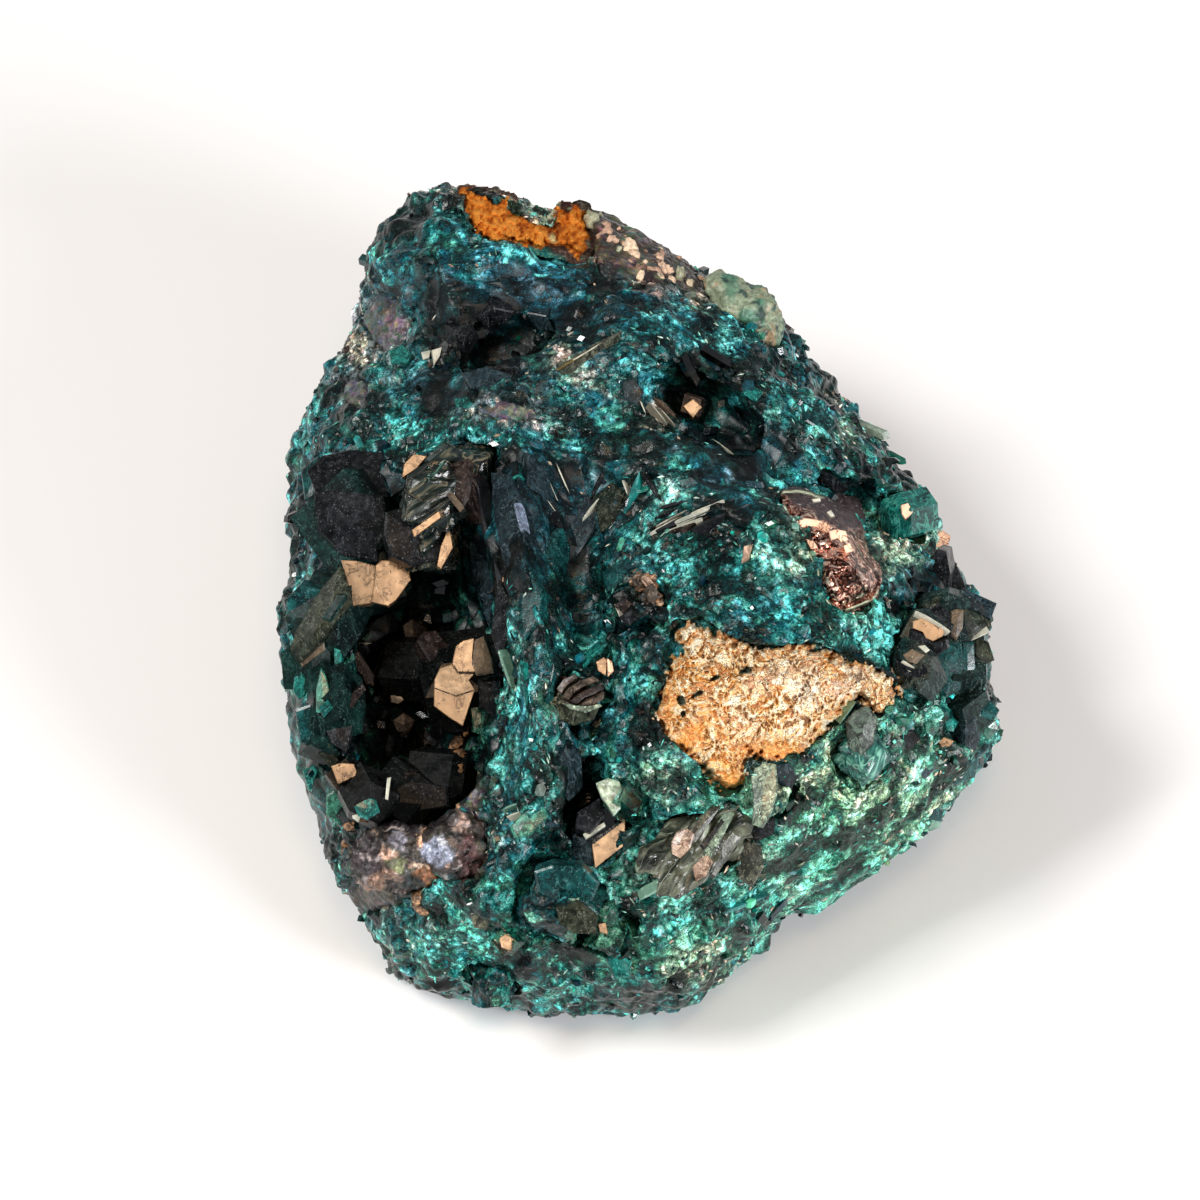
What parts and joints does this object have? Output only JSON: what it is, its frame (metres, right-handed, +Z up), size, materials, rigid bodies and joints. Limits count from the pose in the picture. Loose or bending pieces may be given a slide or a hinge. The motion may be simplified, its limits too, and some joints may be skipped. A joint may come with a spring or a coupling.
{
  "type": "dioptase specimen",
  "caption": "Hand-sized mineral specimen: a lump of copper-ore matrix crusted with deep green dioptase crystals, with open crystal-lined vugs and limonite crusts, standing on a flat base.",
  "frame": {"origin": "on the resting plane, under the middle of the specimen's bounding box", "axes": "+Z up; the display face with the vugs looks towards -Y and about 50 degrees above the horizon; +X is to the right as that face is looked at; +Y is the specimen's longest extent"},
  "size_m": [0.0482, 0.061, 0.0312],
  "materials": {
    "host_rock": "satin",
    "dioptase": "gloss",
    "ochre_limonite": "matte",
    "rust_limonite": "matte",
    "goethite": "gloss",
    "pale_green_mineral": "satin"
  },
  "bodies": {
    "root": {"matrix": "host_rock", "vug_crystals_left": "dioptase", "vug_crystals_upper": "dioptase", "vug_crystals_right": "dioptase", "vug_crystals_floor": "dioptase", "pit_crystal": "dioptase", "small_vug_crystal": "dioptase", "edge_crystals": "dioptase", "corner_crystal": "dioptase", "trench_crystal": "dioptase", "ledge_crystal": "dioptase", "pale_crystal": "pale_green_mineral", "prism_bundle": "dioptase", "dome_crystal_left": "dioptase", "dome_crystal_right": "dioptase", "foot_crystal_dark": "dioptase", "foot_crystal_gold": "dioptase", "foot_crystal_right": "dioptase", "base_crystal": "dioptase", "ochre_crust": "ochre_limonite", "rust_crust": "rust_limonite", "goethite_nodule": "goethite", "vug_lip_nodule": "goethite", "pale_green_mass": "pale_green_mineral"}
  },
  "joints": []
}
